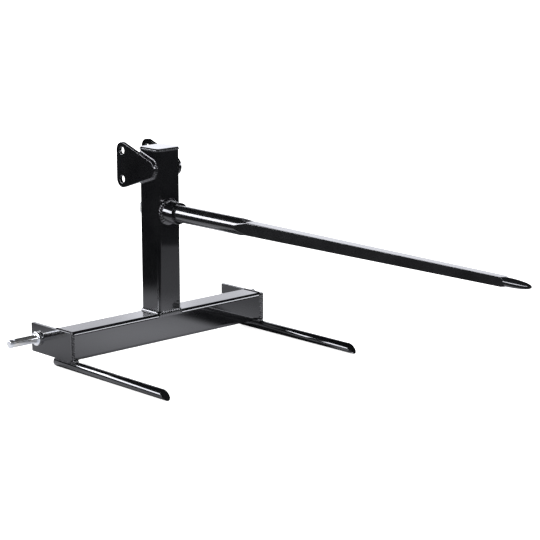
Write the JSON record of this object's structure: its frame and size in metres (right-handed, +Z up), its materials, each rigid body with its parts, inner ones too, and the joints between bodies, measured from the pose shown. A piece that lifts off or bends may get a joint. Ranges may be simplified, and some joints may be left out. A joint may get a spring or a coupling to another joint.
{
  "type": "bale spear",
  "caption": "Hitch-mounted bale spear: square-tube crossbar and mast, long tapered spear in a welded socket, round stabilizer bars, bolted lower hitch pins and drilled top-link plates.",
  "frame": {"origin": "on the floor under the stabilizer bars, at the middle of the bounding box in X and Y", "axes": "+X across the hitch, -Y the way the spear points, +Z up along the mast"},
  "size_m": [0.85, 1.38, 0.546],
  "materials": {
    "frame_paint": "gloss black paint",
    "spear_paint": "gloss black paint on forged bar",
    "weld_paint": "gloss black paint over weld ripples",
    "zinc_plate": "bright zinc plate"
  },
  "bodies": {
    "root": {"crossbar": "frame_paint", "left_end_plate": "frame_paint", "right_end_plate": "frame_paint", "mast": "frame_paint", "mast_cap": "frame_paint", "left_top_link_plate": "frame_paint", "right_top_link_plate": "frame_paint", "left_stabilizer_bar": "frame_paint", "right_stabilizer_bar": "frame_paint", "spear_socket": "frame_paint", "spear": "spear_paint", "mast_base_weld": "weld_paint", "mast_cap_weld": "weld_paint", "left_end_plate_weld": "weld_paint", "right_end_plate_weld": "weld_paint", "left_top_link_weld": "weld_paint", "right_top_link_weld": "weld_paint", "left_stabilizer_weld": "weld_paint", "right_stabilizer_weld": "weld_paint", "socket_front_weld": "weld_paint", "socket_rear_weld": "weld_paint", "left_hitch_pin": "zinc_plate", "right_hitch_pin": "zinc_plate", "hitch_pin_lock_washers": "zinc_plate", "hitch_pin_nuts": "zinc_plate", "spear_nut": "zinc_plate"}
  },
  "joints": []
}
